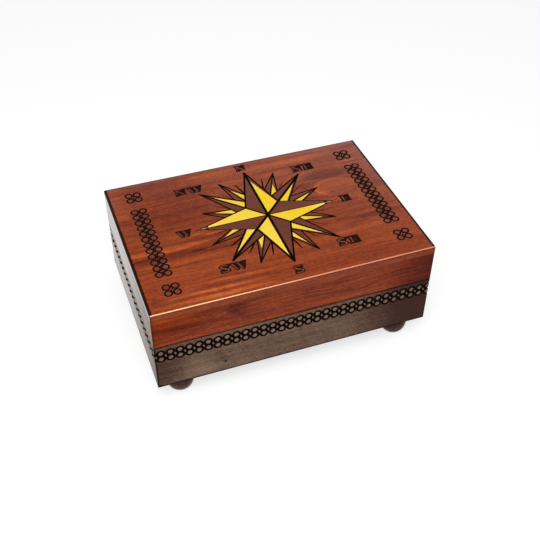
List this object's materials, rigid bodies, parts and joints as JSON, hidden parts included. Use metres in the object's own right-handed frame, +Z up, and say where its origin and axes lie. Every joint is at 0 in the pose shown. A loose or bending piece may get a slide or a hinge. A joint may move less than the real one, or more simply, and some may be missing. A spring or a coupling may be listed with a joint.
{
  "type": "ditty box",
  "caption": "Low wooden keepsake box with a hinged lid carved and painted with a compass rose, a carved knot band round the base, and turned ball feet.",
  "frame": {"origin": "on the floor under the middle of the box, at the level of the feet's undersides", "axes": "+X to the right along the box's width, +Y to the hinged back, +Z up"},
  "size_m": [0.24, 0.166, 0.1012],
  "materials": {
    "lid_wood": "reddish mahogany stain under satin-gloss lacquer, with burnt carving and yellow paint on the top",
    "base_wood": "dark brown stain under satin lacquer, with a burnt knot band",
    "foot_wood": "turned wood, dark reddish brown stain under lacquer",
    "hinge_brass": "satin",
    "screw_steel": "zinc plated"
  },
  "bodies": {
    "base": {"base_front_board": "base_wood", "base_back_board": "base_wood", "base_left_board": "base_wood", "base_right_board": "base_wood", "base_bottom_panel": "base_wood", "foot_front_left": "foot_wood", "foot_front_right": "foot_wood", "foot_back_left": "foot_wood", "foot_back_right": "foot_wood", "foot_screws": "screw_steel", "hinge_left_base_leaf": "hinge_brass", "hinge_right_base_leaf": "hinge_brass", "hinge_left_pin": "hinge_brass", "hinge_right_pin": "hinge_brass", "base_hinge_screws": "hinge_brass"},
    "lid": {"lid_top_panel": "lid_wood", "lid_front_board": "lid_wood", "lid_back_board": "lid_wood", "lid_left_board": "lid_wood", "lid_right_board": "lid_wood", "hinge_left_lid_leaf": "hinge_brass", "hinge_right_lid_leaf": "hinge_brass", "lid_hinge_screws": "hinge_brass"}
  },
  "joints": [
    {"name": "lid_hinge", "type": "hinge", "parent": "base", "child": "lid", "pos_m": [0, 0.0808, 0.0648], "axis": [-1, 0, 0], "range_deg": [0, 98]}
  ]
}
